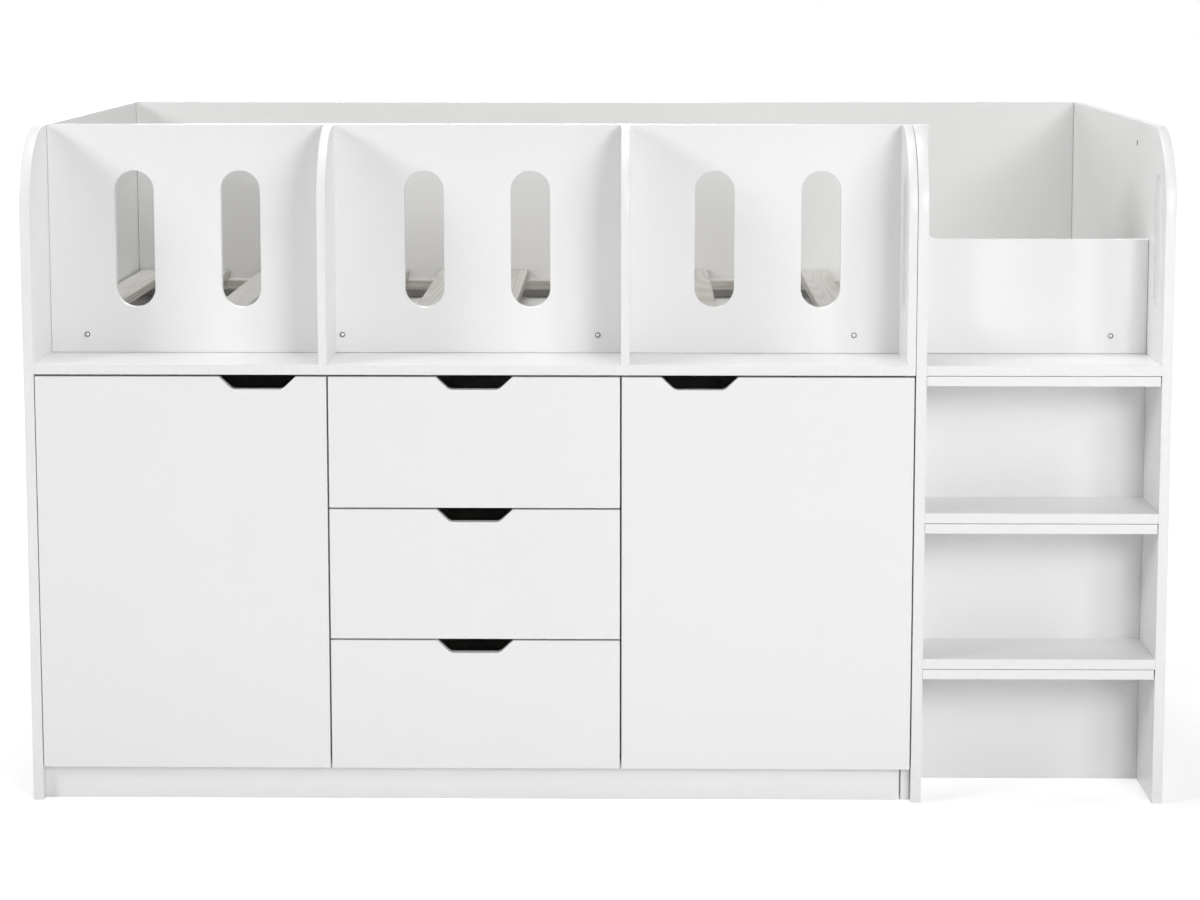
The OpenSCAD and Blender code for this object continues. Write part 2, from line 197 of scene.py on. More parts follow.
def take_out(bm, plugs):
    """Cuts all the plugs out of a board at once. The walls left take the plugs' finish."""
    tool = bmesh.new()
    for one in plugs:
        add_to(tool, one)
    shapes = []
    for shape in (bm, tool):
        held = bpy.data.objects.new("held", bpy.data.meshes.new("held"))
        shape.to_mesh(held.data)
        # Without a place for each finish, the cut would forget which face has which.
        for _ in range(RAW + 1):
            held.data.materials.append(None)
        bpy.context.scene.collection.objects.link(held)
        shapes.append(held)
    cut = shapes[0].modifiers.new("cut", "BOOLEAN")
    cut.operation, cut.solver, cut.object = "DIFFERENCE", "EXACT", shapes[1]
    bm.clear()
    bm.from_object(shapes[0], bpy.context.evaluated_depsgraph_get())
    tool.free()
    for held in shapes:
        bpy.data.meshes.remove(held.data)


BOARD_EASE = 0.0008


def soften(bm, width=BOARD_EASE, segments=2):
    """Takes the sharpness off every edge that turns."""
    turning = [e for e in bm.edges if len(e.link_faces) == 2 and e.calc_face_angle() > SHARP]
    round_over(bm, turning, width, segments)


def coat_faces(bm, raw=()):
    """Gives faces the first finish on the two broad sides, the second on the edges, and the
    third on the sides left raw."""
    corners = list(zip(*(v.co for v in bm.verts)))
    thin = min(range(3), key=lambda i: max(corners[i]) - min(corners[i]))
    for face in bm.faces:
        side = max(range(3), key=lambda i: abs(face.normal[i]))
        flat = abs(face.normal[side]) > ALIGNED
        facing = ("-" if face.normal[side] < 0 else "+") + "xyz"[side]
        if flat and facing in raw:
            face.material_index = RAW
        else:
            face.material_index = int(side != thin or not flat)


def install(bm, name, body, coat, *nodes):
    """Makes a mesh a piece of the bed, riding on its body in place of its CAD nodes."""
    for face in bm.faces:
        face.smooth = max(abs(c) for c in face.normal) < ALIGNED
    mesh = bpy.data.meshes.new(name)
    bm.to_mesh(mesh)
    bm.free()
    slot, finishes = coat
    for one in finishes:
        mesh.materials.append(one)
    piece = bpy.data.objects.new(name, mesh)
    bpy.context.scene.collection.objects.link(piece)
    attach(piece, body)
    if nodes:
        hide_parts(*nodes)


DRILL_OVER = 0.002


def drill(at, facing, radius, deep, segments=8):
    """A round hole from a point on the side that faces one way. Its walls are left raw."""
    axis = "xyz".index(facing[1])
    out = 1 if facing[0] == "+" else -1
    low, high = Vector(at) - Vector((radius,) * 3), Vector(at) + Vector((radius,) * 3)
    low[axis], high[axis] = sorted((at[axis] - out * deep, at[axis] + out * DRILL_OVER))
    hole = plug(low, high, axis, radius, segments)
    for face in hole.faces:
        face.material_index = RAW
    return hole


# Cam fittings are let into shallow pockets. Those of the boards below are gathered here, and
# are set in once all these boards are made.
CAM_POCKET_R, CAM_POCKET_DEEP = 0.0078, 0.0012
cam_places = []


def cam_pocket(at, facing):
    return drill(at, facing, CAM_POCKET_R, CAM_POCKET_DEEP)


def board(name, node, body="frame", corner=0.0, cut=(), raw=("-z",), drilled=(), cams=(),
          coat=WHITE_BOARD, ease=BOARD_EASE, short=((0, 0, 0), (0, 0, 0))):
    """A board in the place of its CAD node: rounded, cut through, edged, then drilled.
    cams are the points and sides where a cam fitting is let in flush, and short is how much
    is missing at its left, front and foot, and at its right, rear and top, where a joint
    shows."""
    low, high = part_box(node)
    low = [at + gap for at, gap in zip(low, short[0])]
    high = [at - gap for at, gap in zip(high, short[1])]
    bm = block(low, high)
    if corner:
        front_top = [e for e in bm.edges
                     if runs_along(e, X) and e.verts[0].co.y < low[1] + TOUCHING
                     and e.verts[0].co.z > high[2] - TOUCHING]
        round_over(bm, front_top, corner, segments=40)
    if cut:
        take_out(bm, cut)
    soften(bm, ease)
    coat_faces(bm, raw)
    holes = list(drilled) + [cam_pocket(at, facing) for at, facing in cams]
    cam_places.extend(cams)
    if holes:
        take_out(bm, holes)
    install(bm, name, body, coat, node)


left_low, left_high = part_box("left_end_panel")
INSIDE_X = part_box("right_end_panel")[0][0]
FRONT_Y, TOP_Z = left_low[1], left_high[2]
DECK_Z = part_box("cabinet_top")[1][2]
CORNER_R = 0.145
GRIP_W, GRIP_H, GRIP_D = 0.058, 0.243, 0.080
CUT_MID_Z = (DECK_Z + TOP_Z) / 2
CUT_OVER = 0.01


def hand_grip(node):
    """The upright grip through a board, with round ends."""
    low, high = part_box(node)
    mid = FRONT_Y + GRIP_D
    return plug((low[0] - CUT_OVER, mid - GRIP_W / 2, CUT_MID_Z - GRIP_H / 2),
                (high[0] + CUT_OVER, mid + GRIP_W / 2, CUT_MID_Z + GRIP_H / 2), X, GRIP_W / 2)


# Two rows of holes for shelf pins run up both walls of each cupboard, 32 mm apart. The shelf
# lies on pins in the middle ones.
SHELF_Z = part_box("left_cupboard_shelf")[0][2]
PIN_R, PIN_LONG, PIN_D, PIN_PITCH = 0.0025, 0.009, (0.120, 0.475), 0.032
PIN_HOLE_R = 0.0026


def pin_holes(x, facing):
    return [drill((x, FRONT_Y + d, SHELF_Z - PIN_R + PIN_PITCH * k), facing, PIN_HOLE_R,
                  PIN_LONG, segments=4)
            for d in PIN_D for k in range(-4, 5)]


board("left_end_board", "left_end_panel", corner=CORNER_R,
      drilled=pin_holes(left_high[0], "+x"))

# A spare hole is drilled high on the right board's inner face.
SPARE_HOLE = (INSIDE_X, FRONT_Y + 0.310, TOP_Z - 0.040)
SPARE_R, SPARE_DEEP = 0.006, 0.010
board("right_end_board", "right_end_panel", corner=CORNER_R, cut=[hand_grip("right_end_panel")],
      drilled=[drill(SPARE_HOLE, "-x", SPARE_R, SPARE_DEEP)])


# ---- Rear boards ----------------------------------------------------------------------------
# The guard on the wall side, a board under it and a low one near the floor tie the end boards
# together. Cam fittings in their outer faces draw the ends tight. A wide board lies flat against
# them, level with the cabinet's top, and shows between the slats; its fittings are underneath.

CAM_IN = 0.034


def rear_cams(node, heights):
    """Cam fittings in a board's rear face, near both of its ends."""
    low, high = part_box(node)
    return [((x, high[1], low[2] + h), "+y")
            for x in (low[0] + CAM_IN, high[0] - CAM_IN) for h in heights]


def under_cams(left, right, depths, z):
    """Cam fittings in a board's underside, near both of its ends."""
    return [((x, y, z), "-z") for x in (left + CAM_IN, right - CAM_IN) for y in depths]


JOINT = 0.0005
board("rear_guard_board", "rear_guard_panel", cams=rear_cams("rear_guard_panel", (0.06, 0.34)),
      short=((JOINT, 0, 0), (JOINT, 0, 0)))
board("rear_middle_board", "rear_middle_rail", cams=rear_cams("rear_middle_rail", (0.04, 0.11)))
board("rear_bottom_board", "rear_bottom_rail", cams=rear_cams("rear_bottom_rail", (0.03, 0.07)))
flat_low, flat_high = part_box("rear_flat_rail")
board("rear_flat_board", "rear_flat_rail", raw=("+y",),
      cams=under_cams(flat_low[0], flat_high[0], [flat_low[1] + d for d in (0.04, 0.15)],
                      flat_low[2]))


# ---- Front guard ----------------------------------------------------------------------------
# One long board stands behind the cubbies. Three pairs of upright slots are routed through it,
# and it drops to a low part at the top of the steps. Its rear face carries the cam fittings.

SLOT_W, SLOT_H, SLOT_GAP, PAIR_PITCH = 0.070, 0.243, 0.188, 0.513
ENTRY_X, ENTRY_Z, ENTRY_R, ENTRY_OVER = 0.581, 0.976, 0.020, 0.05
# The left wall of each cubby, and the right side of the divider that ends them.
BAY_X = (-0.972, -0.465, 0.042, 0.549)
SLIM_T = 0.015

guard_low, guard_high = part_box("front_guard_panel")
first_pair = (BAY_X[0] + BAY_X[1] - SLIM_T) / 2
guard_cuts = []
for bay in range(3):
    for side in (-1, 1):
        x = first_pair + bay * PAIR_PITCH + side * SLOT_GAP / 2
        guard_cuts.append(
            plug((x - SLOT_W / 2, guard_low[1] - CUT_OVER, CUT_MID_Z - SLOT_H / 2),
                 (x + SLOT_W / 2, guard_high[1] + CUT_OVER, CUT_MID_Z + SLOT_H / 2),
                 Y, SLOT_W / 2))
guard_cuts.append(
    plug((ENTRY_X, guard_low[1] - ENTRY_OVER, ENTRY_Z),
         (INSIDE_X + ENTRY_OVER, guard_high[1] + ENTRY_OVER, TOP_Z + ENTRY_OVER),
         Y, ENTRY_R, segments=12))
guard_ends = ((guard_low[0] + CAM_IN, (0.07, 0.33)), (guard_high[0] - CAM_IN, (0.07, 0.15)))
guard_cams = [((x, guard_high[1], DECK_Z + h), "+y") for x, heights in guard_ends for h in heights]
board("front_guard_board", "front_guard_panel", cut=guard_cuts, cams=guard_cams,
      short=((JOINT, 0, JOINT), (1.6 * JOINT, 0, 0)))


# ---- Cubbies --------------------------------------------------------------------------------
# A long shelf board covers the cabinet and makes the cubbies' floor. Two thinner boards divide
# the cubbies, and a third one with a hand grip ends them beside the steps.

top_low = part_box("cabinet_top")[0]
board("cubby_floor_board", "cabinet_top", raw=("-x", "+y"),
      cams=under_cams(BAY_X[0], BAY_X[3] - SLIM_T, [FRONT_Y + d for d in (0.10, 0.42)],
                      top_low[2]))
board("left_cubby_divider", "cubby_divider_left", corner=CORNER_R)
board("right_cubby_divider", "cubby_divider_right", corner=CORNER_R)
board("end_cubby_divider", "cubby_end_divider", corner=CORNER_R,
      cut=[hand_grip("cubby_end_divider")])


# ---- Steps ----------------------------------------------------------------------------------
# Three treads sit between the right end board and a second full-height board that is bolted to
# the cabinet. Each has a rail glued under its front, and one riser board closes them behind.

GLUE_LINE, RAIL_END_GAP, RAIL_EASE, TREAD_CAM_D = 0.0009, 0.0012, 0.0010, 0.1
board("stair_side_board", "stair_side_panel", corner=CORNER_R,
      cut=[hand_grip("stair_side_panel")])
board("riser_board", "stair_riser", cams=rear_cams("stair_riser", (0.08, 0.35, 0.62)))
for step in ("bottom", "middle", "top"):
    tread_low, tread_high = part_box(step + "_tread")
    board(step + "_tread_board", step + "_tread", raw=("+y",) if step == "top" else (),
          cams=under_cams(tread_low[0], tread_high[0], [FRONT_Y + TREAD_CAM_D], tread_low[2]))
    board(step + "_tread_rail_board", step + "_tread_rail", raw=(), ease=RAIL_EASE,
          short=((0, 0, 0), (RAIL_END_GAP, 0, GLUE_LINE)))


# ---- Cabinet --------------------------------------------------------------------------------
# Thinner boards make the box under the cubbies: a plinth set back from the fronts, cut a little
# short of the side, a floor, two partitions and one side. A hardboard sheet, white inside and
# brown behind, is nailed on.

def bare_hardboard(place):
    """Brown pressed fibre."""
    fibre = place.noise(900, 4.0)
    cloud = place.noise(6)
    colour = (fibre * 0.6 + cloud * 0.4).ramp((0.3, (0.30, 0.19, 0.11)),
                                              (0.7, (0.42, 0.29, 0.18)))
    return colour, fibre * 0.2 + 0.6, fibre * 0.1


brown_side = finish("bare_hardboard", bare_hardboard)
HARDBOARD = ("white_board", [white_foil, brown_side, brown_side])
HARDBOARD_EASE = 0.0003
PLINTH_GAP = 0.0016

board("plinth_board", "plinth", short=((0, 0, 0), (PLINTH_GAP, 0, 0)))
board("cabinet_floor_board", "cabinet_floor", raw=("+y",))
board("left_partition_board", "partition_left", raw=("+y",),
      drilled=pin_holes(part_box("partition_left")[0][0], "-x"))
board("right_partition_board", "partition_right", raw=("+y",),
      drilled=pin_holes(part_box("partition_right")[1][0], "+x"))
board("cabinet_side_board", "cabinet_side", raw=("-z", "+y"),
      drilled=pin_holes(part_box("cabinet_side")[0][0], "-x"))
board("left_shelf_board", "left_cupboard_shelf", raw=("+y",))
board("right_shelf_board", "right_cupboard_shelf", raw=("+y",))
board("cabinet_back_sheet", "cabinet_back", raw=("+y", "-z"), coat=HARDBOARD,
      ease=HARDBOARD_EASE)


def nickel(place):
    """Bright plating, rubbed a little more along one way than across."""
    rub = place.noise(900, 3.0, (1, 1, 0.15))
    tint = place.noise(40)
    colour = tint.ramp((0.3, (0.60, 0.60, 0.61)), (0.7, (0.70, 0.70, 0.69)))
    return colour, rub * 0.14 + 0.22, rub * 0.01


BRIGHT_STEEL = ("steel", [finish("nickel_plate", nickel, metallic=1.0)])

# How a small shape that stands on z = 0 is turned to face each way.
TURN = {"+z": Matrix(), "-z": Matrix.Rotation(math.pi, 4, "X"),
        "+x": Matrix.Rotation(math.pi / 2, 4, "Y"), "-x": Matrix.Rotation(-math.pi / 2, 4, "Y"),
        "+y": Matrix.Rotation(-math.pi / 2, 4, "X"), "-y": Matrix.Rotation(math.pi / 2, 4, "X")}

# The recess takes DRIVE_DEEP of a head's height and narrows to DRIVE_TAPER at its foot. A cross
# keeps what lies within CROSS_ARM degrees of its arms and pulls the rest in to CROSS_PULL.
DRIVE_DEEP, DRIVE_TAPER, CROSS_ARM, CROSS_PULL = 0.6, 0.75, 10, 0.28


def head(foot_r, top_r, height, drive=0.6, hexagon=False):
    """A screw head standing on z = 0, with a cross or a hexagon sunk in its top. It is
    countersunk if its top is wider than its foot. drive is the recess's share of the top."""
    bm = bmesh.new()
    bmesh.ops.create_cone(bm, cap_ends=True, segments=24, radius1=foot_r, radius2=top_r,
                          depth=height)
    bmesh.ops.translate(bm, vec=(0, 0, height / 2), verts=bm.verts)
    top = max(bm.faces, key=lambda f: f.calc_center_median().z)
    if foot_r > top_r:
        round_over(bm, list(top.edges), height * 0.3, segments=2)
        top = max(bm.faces, key=lambda f: (round(f.calc_center_median().z, 6), f.calc_area()))
    if drive:
        bmesh.ops.inset_individual(bm, faces=[top], thickness=top_r * (1 - drive) * 0.9)
        for v in top.verts:
            around = math.degrees(math.atan2(v.co.y, v.co.x))
            if hexagon:
                flat = math.radians(around % 60 - 30)
                pull = math.cos(math.radians(30)) / math.cos(flat)
            else:
                off_arm = min(around % 90, 90 - around % 90)
                pull = 1.0 if off_arm < CROSS_ARM else CROSS_PULL
            v.co.xy = v.co.xy * pull
        sunk = bmesh.ops.extrude_discrete_faces(bm, faces=[top])["faces"][0]
        bmesh.ops.translate(bm, vec=(0, 0, -height * DRIVE_DEEP), verts=sunk.verts)
        bmesh.ops.scale(bm, vec=(DRIVE_TAPER, DRIVE_TAPER, 1), verts=sunk.verts)
        bmesh.ops.poke(bm, faces=[sunk])
    return bm


def scatter(name, body, coat, shape, places, *nodes):
    """Sets one small shape at many places, each facing its own way, as one piece."""
    one = bpy.data.meshes.new("one")
    shape.to_mesh(one)
    shape.free()
    bm = bmesh.new()
    for at, facing in places:
        bm.from_mesh(one)
        bm.verts.ensure_lookup_table()
        bmesh.ops.transform(bm, matrix=Matrix.Translation(at) @ TURN[facing],
                            verts=bm.verts[-len(one.vertices):])
    bpy.data.meshes.remove(one)
    install(bm, name, body, coat, *nodes)


# Nails run along the sheet's top and foot, and up the partitions and the side.
NAIL_N, NAIL_IN, NAIL_UP, NAIL_DOWN = 13, 0.05, 0.008, 0.010
COLUMN_PITCH, SIDE_NAIL_IN = 0.11, 0.022
back_low, back_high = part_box("cabinet_back")
row_z = (back_low[2] + NAIL_UP, back_high[2] - NAIL_DOWN)
row_pitch = (back_high[0] - back_low[0] - 2 * NAIL_IN) / (NAIL_N - 1)
column_x = (BAY_X[1] - SLIM_T / 2, BAY_X[2] + SLIM_T / 2, BAY_X[3] - SIDE_NAIL_IN)
nails = [((back_low[0] + NAIL_IN + k * row_pitch, back_high[1], z), "+y")
         for k in range(NAIL_N) for z in row_z]
nails += [((x, back_high[1], row_z[0] + COLUMN_PITCH * k), "+y")
          for x in column_x for k in range(1, 7)]
scatter("back_sheet_nails", "frame", BRIGHT_STEEL,
        head(foot_r=0.0018, top_r=0.0013, height=0.0004, drive=0), nails)


PIN_EASE = 0.0004


def shelf_peg():
    """A round peg with eased ends, its far end let into the wall."""
    bm = bmesh.new()
    bmesh.ops.create_cone(bm, cap_ends=True, segments=16, radius1=PIN_R, radius2=PIN_R,
                          depth=PIN_LONG)
    bmesh.ops.translate(bm, vec=(0, 0, PIN_LONG / 2), verts=bm.verts)
    rims = [e for e in bm.edges if e.calc_face_angle() > math.radians(60)]
    round_over(bm, rims, PIN_EASE, segments=2)
    return bm


cupboard_walls = ((BAY_X[0], "+x"), (BAY_X[1] - SLIM_T, "-x"),
                  (BAY_X[2] + SLIM_T, "+x"), (BAY_X[3] - SLIM_T, "-x"))
scatter("shelf_pegs", "frame", BRIGHT_STEEL, shelf_peg(),
        [((x, FRONT_Y + d, SHELF_Z - PIN_R), facing) for x, facing in cupboard_walls
         for d in PIN_D],
        "shelf_pins")


# ---- Bed base -------------------------------------------------------------------------------
# Two battens are bolted and screwed to the guards, and sixteen planed slats of pale softwood lie
# across them, each held by a countersunk screw at both ends.

def pale_wood(along, level):
    """Planed softwood whose grain runs along one axis, lighter or darker by level."""
    stretch = [1.0, 1.0, 1.0]
    stretch[along] = 0.04
    tones = ((0.2, (0.47, 0.44, 0.395)), (0.5, (0.605, 0.588, 0.555)), (0.8, (0.70, 0.69, 0.665)))
    tones = [(at, tuple(c * level for c in tone)) for at, tone in tones]

    def mix(place):
        # Each turn of the wave is one year's ring, cut along.
        turns = place.noise(24, 0.0, stretch) * 76
        rings = turns.node("Math", {"operation": "SINE"}, {0: turns}) * 0.5 + 0.5
        fibre = place.noise(700, 3.0, stretch)
        slat_tone = place.noise(9, 0.0, stretch)
        shade = rings * 0.22 + fibre * 0.15 + slat_tone * 0.6 + 0.015
        return shade.ramp(*tones), fibre * 0.2 + 0.5, fibre * 0.12 + rings * 0.04
    return mix


SLAT_PINE = ("pine", [finish("pale_softwood_across", pale_wood(along=Y, level=0.94))])
BATTEN_PINE = ("pine", [finish("pale_softwood_along", pale_wood(along=X, level=1.2))])

SLAT_N, SLAT_W, SLAT_ROUND, SCREW_IN = 16, 0.060, 0.003, 0.020
SINK_FOOT_R, SINK_TOP_R, SINK_DEEP, SCREW_DOWN = 0.0014, 0.0046, 0.0034, 0.003
slats_low, slats_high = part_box("bed_slats")
front_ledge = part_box("front_ledger")
rear_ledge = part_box("rear_ledger")
screw_z = slats_high[2] - SCREW_DOWN

slats = bmesh.new()
sinks = []
slat_screws = []
for k in range(SLAT_N):
    x = slats_low[0] + k * (slats_high[0] - slats_low[0] - SLAT_W) / (SLAT_N - 1)
    slat = block((x, slats_low[1], slats_low[2]), (x + SLAT_W, slats_high[1], slats_high[2]))
    round_over(slat, [e for e in slat.edges if runs_along(e, Y)], SLAT_ROUND, segments=4)
    add_to(slats, slat)
    for y in (front_ledge[0][1] + SCREW_IN, rear_ledge[1][1] - SCREW_IN):
        sink = bmesh.new()
        bmesh.ops.create_cone(sink, cap_ends=True, segments=24, radius1=SINK_FOOT_R,
                              radius2=SINK_TOP_R, depth=SINK_DEEP)
        bmesh.ops.translate(sink, vec=(x + SLAT_W / 2, y, screw_z + SINK_DEEP / 2),
                            verts=sink.verts)
        sinks.append(sink)
        slat_screws.append(((x + SLAT_W / 2, y, screw_z), "+z"))
take_out(slats, sinks)
install(slats, "base_slats", "frame", SLAT_PINE, "bed_slats")
scatter("base_slat_screws", "frame", BRIGHT_STEEL,
        head(foot_r=SINK_FOOT_R, top_r=0.0039, height=0.0026), slat_screws, "slat_screws")

BATTEN_EASE = 0.002
for name, node in (("front_batten", "front_ledger"), ("rear_batten", "rear_ledger")):
    batten = block(*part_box(node))
    soften(batten, BATTEN_EASE, segments=3)
    install(batten, name, "frame", BATTEN_PINE, node)

BATTEN_SCREW_X, BATTEN_SCREW_PITCH = -0.84, 0.28
batten_z = (front_ledge[0][2] + front_ledge[1][2]) / 2
scatter("rear_batten_screws", "frame", BRIGHT_STEEL,
        head(foot_r=0.0045, top_r=0.0036, height=0.0022),
        [((BATTEN_SCREW_X + BATTEN_SCREW_PITCH * k, rear_ledge[0][1], batten_z), "-y")
         for k in range(7)])


# ---- Bolts and cam fittings -----------------------------------------------------------------
# Five bolts hold the front batten to the guard. Each has a domed cap in a washer in front, whose
# dark grey paints the shade round the cap, and a nut on a washer behind. The cam fittings lie
# flush in the holes drilled for them, and the right end board's spare hole holds a threaded
# sleeve of the same dark grey, which paints the shade inside the hole.

def zinc_with_painted_shade(place):
    """Dull dark grey plating, clouded. Its darkness is painted shade at the caps and in a hole."""
    cloud = place.noise(300, 3.0)
    colour = cloud.ramp((0.3, (0.16, 0.16, 0.165)), (0.7, (0.24, 0.24, 0.245)))
    return colour, cloud * 0.15 + 0.35, cloud * 0.02


# This dark grey metal paints the shade round the bolt caps and inside the spare hole.
DARK_STEEL_PAINTED_SHADE = ("steel", [finish("dull_zinc_painted_shade", zinc_with_painted_shade, metallic=1.0)])
BOLT_PITCH, BOLT_DOWN = 0.454, 0.006
bolt_z = front_ledge[1][2] - BOLT_DOWN
bolt_x = [k * BOLT_PITCH for k in range(-2, 3)]
bolt_fronts = [((x, guard_low[1], bolt_z), "-y") for x in bolt_x]
bolt_backs = [((x, front_ledge[1][1], bolt_z), "+y") for x in bolt_x]


def turned(outline, steps):
    """A shape turned on a lathe, from the radii and heights of its outline. The outline closes
    on itself if it starts off the axis."""
    bm = bmesh.new()
    line = [bm.verts.new((r, 0, z)) for r, z in outline]
    if outline[0][0] > 0:
        line.append(line[0])
    for pair in zip(line, line[1:]):
        bm.edges.new(pair)
    bmesh.ops.spin(bm, geom=bm.verts[:] + bm.edges[:], axis=(0, 0, 1), cent=(0, 0, 0),
                   angle=math.tau, steps=steps, use_merge=True)
    bmesh.ops.remove_doubles(bm, verts=bm.verts, dist=1e-7)
    bmesh.ops.recalc_face_normals(bm, faces=bm.faces)
    return bm


def washer(radius, bore, thick):
    """A flat ring with its outer edge eased, standing on z = 0."""
    ease = 0.0003
    return turned([(bore, 0), (radius, 0), (radius, thick - ease), (radius - ease, thick),
                   (bore, thick)], steps=24)


def dome(radius, height):
    """A low domed cap, half a ball pressed flat."""
    bm = bmesh.new()
    bmesh.ops.create_uvsphere(bm, u_segments=24, v_segments=12, radius=1.0)
    cut = bmesh.ops.bisect_plane(bm, geom=bm.verts[:] + bm.edges[:] + bm.faces[:], dist=1e-4,
                                 plane_co=(0, 0, 0), plane_no=(0, 0, -1), clear_outer=True)
    rim = [e for e in cut["geom_cut"] if isinstance(e, bmesh.types.BMEdge)]
    bmesh.ops.holes_fill(bm, edges=rim, sides=0)
    bmesh.ops.scale(bm, vec=(radius, radius, height), verts=bm.verts)
    bmesh.ops.recalc_face_normals(bm, faces=bm.faces)
    return bm


# The front washers are dark grey to paint the shade round the caps.
scatter("guard_bolt_washers", "frame", DARK_STEEL_PAINTED_SHADE,
        washer(radius=0.0050, bore=0.0020, thick=0.0010), bolt_fronts, "guard_bolts")
scatter("guard_bolt_caps", "frame", BRIGHT_STEEL, dome(radius=0.0036, height=0.0018),
        bolt_fronts)
scatter("guard_nut_washers", "frame", BRIGHT_STEEL,
        washer(radius=0.0055, bore=0.0020, thick=0.0010), bolt_backs)
scatter("guard_nuts", "frame", BRIGHT_STEEL,
        head(foot_r=0.0048, top_r=0.0046, height=0.0040, drive=0.55, hexagon=True), bolt_backs)

# The sleeve stands a little off the hole's walls and bottom, and ends just below its mouth. Its
# dark grey paints the shade inside the hole.
SLEEVE_OFF, SLEEVE_UP, SLEEVE_SUNK = 0.0002, 0.0004, 0.0003
sleeve = washer(radius=SPARE_R - SLEEVE_OFF, bore=0.0042,
                thick=SPARE_DEEP - SLEEVE_SUNK - SLEEVE_UP)
scatter("spare_hole_sleeve", "frame", DARK_STEEL_PAINTED_SHADE, sleeve,
        [(Vector(SPARE_HOLE) + Vector((SPARE_DEEP - SLEEVE_UP, 0, 0)), "-x")])

CAM_SUNK = 0.0011
cams_in_pockets = []
for at, facing in cam_places:
    depth = Vector((0, 0, 0))
    depth["xyz".index(facing[1])] = -CAM_SUNK if facing[0] == "+" else CAM_SUNK
    cams_in_pockets.append((Vector(at) + depth, facing))
scatter("frame_cam_fittings", "frame", BRIGHT_STEEL,
        head(foot_r=0.0074, top_r=0.0073, height=0.0009, drive=0.45), cams_in_pockets)


# ---- Drawers --------------------------------------------------------------------------------
# Each drawer is a front with a finger cut-out, two thin sides, a back and a hardboard bottom. It
# rolls on steel runners, painted off-white, with a plastic wheel on each rail.

NOTCH_W, NOTCH_H, NOTCH_SLOPE, NOTCH_OVER = 0.133, 0.022, math.radians(43), 0.005
NOTCH_LIP_R, NOTCH_ROOT_R = 0.004, 0.014


def finger_notch(x, low, high):
    """The cut-out's plug: a block with sloping ends, rounded along its bottom edges."""
    half = NOTCH_W / 2 + NOTCH_OVER / math.tan(NOTCH_SLOPE)
    foot = NOTCH_W / 2 - NOTCH_H / math.tan(NOTCH_SLOPE)
    bm = block((x - half, low[1] - CUT_OVER, high[2] - NOTCH_H),
               (x + half, high[1] + CUT_OVER, high[2] + NOTCH_OVER))
    bottom = [v for v in bm.verts if v.co.z < high[2]]
    for v in bottom:
        v.co.x = x + (v.co.x - x) * foot / half
    round_over(bm, [e for e in bm.edges if runs_along(e, Y) and e.verts[0] in bottom],
               NOTCH_ROOT_R * math.tan(NOTCH_SLOPE / 2), segments=8)
    return bm


def front_board(name, node, body, notch_x, cups=()):
    """A door or drawer front: its cut-out, eased where the hand goes in, and any hinge bores."""
    low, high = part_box(node)
    bm = block(low, high)
    take_out(bm, [finger_notch(notch_x, low, high)])
    near = 1e-4
    lips = [e for e in bm.edges if runs_along(e, Y) and abs(e.verts[0].co.z - high[2]) < near
            and abs(abs(e.verts[0].co.x - notch_x) - NOTCH_W / 2) < near]
    round_over(bm, lips, NOTCH_LIP_R * math.tan(NOTCH_SLOPE / 2), segments=4)
    soften(bm)
    coat_faces(bm)
    if cups:
        take_out(bm, cups)
    install(bm, name, body, WHITE_BOARD, node)


def runner_paint(place):
    """Baked off-white paint, finely speckled."""
    speck = place.noise(800, 2.0)
    colour = speck.ramp((0.3, (0.70, 0.70, 0.68)), (0.7, (0.76, 0.76, 0.74)))
    return colour, speck * 0.15 + 0.35, speck * 0.03


def nylon(place):
    """Milky plastic, a little darker than the paint."""
    cloud = place.noise(200)
    colour = cloud.ramp((0.3, (0.62, 0.62, 0.60)), (0.7, (0.70, 0.70, 0.68)))
    return colour, cloud * 0.1 + 0.4, cloud * 0.02


RUNNER_PAINT = ("runner_paint", [finish("runner_paint", runner_paint)])
WHEEL_NYLON = ("runner_paint", [finish("wheel_nylon", nylon)])


def copy_of(node, ease=0.0002):
    """The CAD node's own shape, merged and with its edges taken off."""
    bm = bmesh.new()
    bm.from_mesh(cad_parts[node].data)
    bmesh.ops.remove_doubles(bm, verts=bm.verts, dist=TOUCHING)
    bmesh.ops.dissolve_limit(bm, angle_limit=math.radians(1), verts=bm.verts, edges=bm.edges)
    soften(bm, ease, segments=1)
    return bm


WHEEL_R, WHEEL_W, WHEEL_EASE, WHEEL_DISH = 0.0082, 0.0054, 0.0005, 0.0008
WHEEL_RIM, DISH_OUT_R, DISH_IN_R, BOSS_R = 0.0066, 0.0062, 0.0034, 0.0030


def wheel():
    """A runner's wheel: a short drum with a recessed face and a boss."""
    return turned([(0.0, 0.0), (WHEEL_R - WHEEL_EASE, 0.0), (WHEEL_R, WHEEL_EASE),
                   (WHEEL_R, WHEEL_W - WHEEL_EASE), (WHEEL_R - WHEEL_EASE, WHEEL_W),
                   (WHEEL_RIM, WHEEL_W), (DISH_OUT_R, WHEEL_W - WHEEL_DISH),
                   (DISH_IN_R, WHEEL_W - WHEEL_DISH), (BOSS_R, WHEEL_W), (0.0, WHEEL_W)],
                  steps=32)


# D is how far a thing lies behind the fronts, UP how far over a drawer's foot, and T and W how
# far it stands out from the wall that carries the runner. The two shallow pockets near the front
# of each drawer side are left empty.
RAIL_T, RUNNER_W, WHEEL_PLAY, WHEEL_UP = 0.0012, 0.0125, 0.0001, 0.033
MOVING_WHEEL_D, FIXED_WHEEL_D = 0.434, 0.036
RAIL_SCREW_D, RAIL_SCREW_UP = (0.075, 0.250, 0.400), 0.001
SIDE_POCKET_IN, SIDE_POCKET_UP = 0.03, (0.045, 0.115)

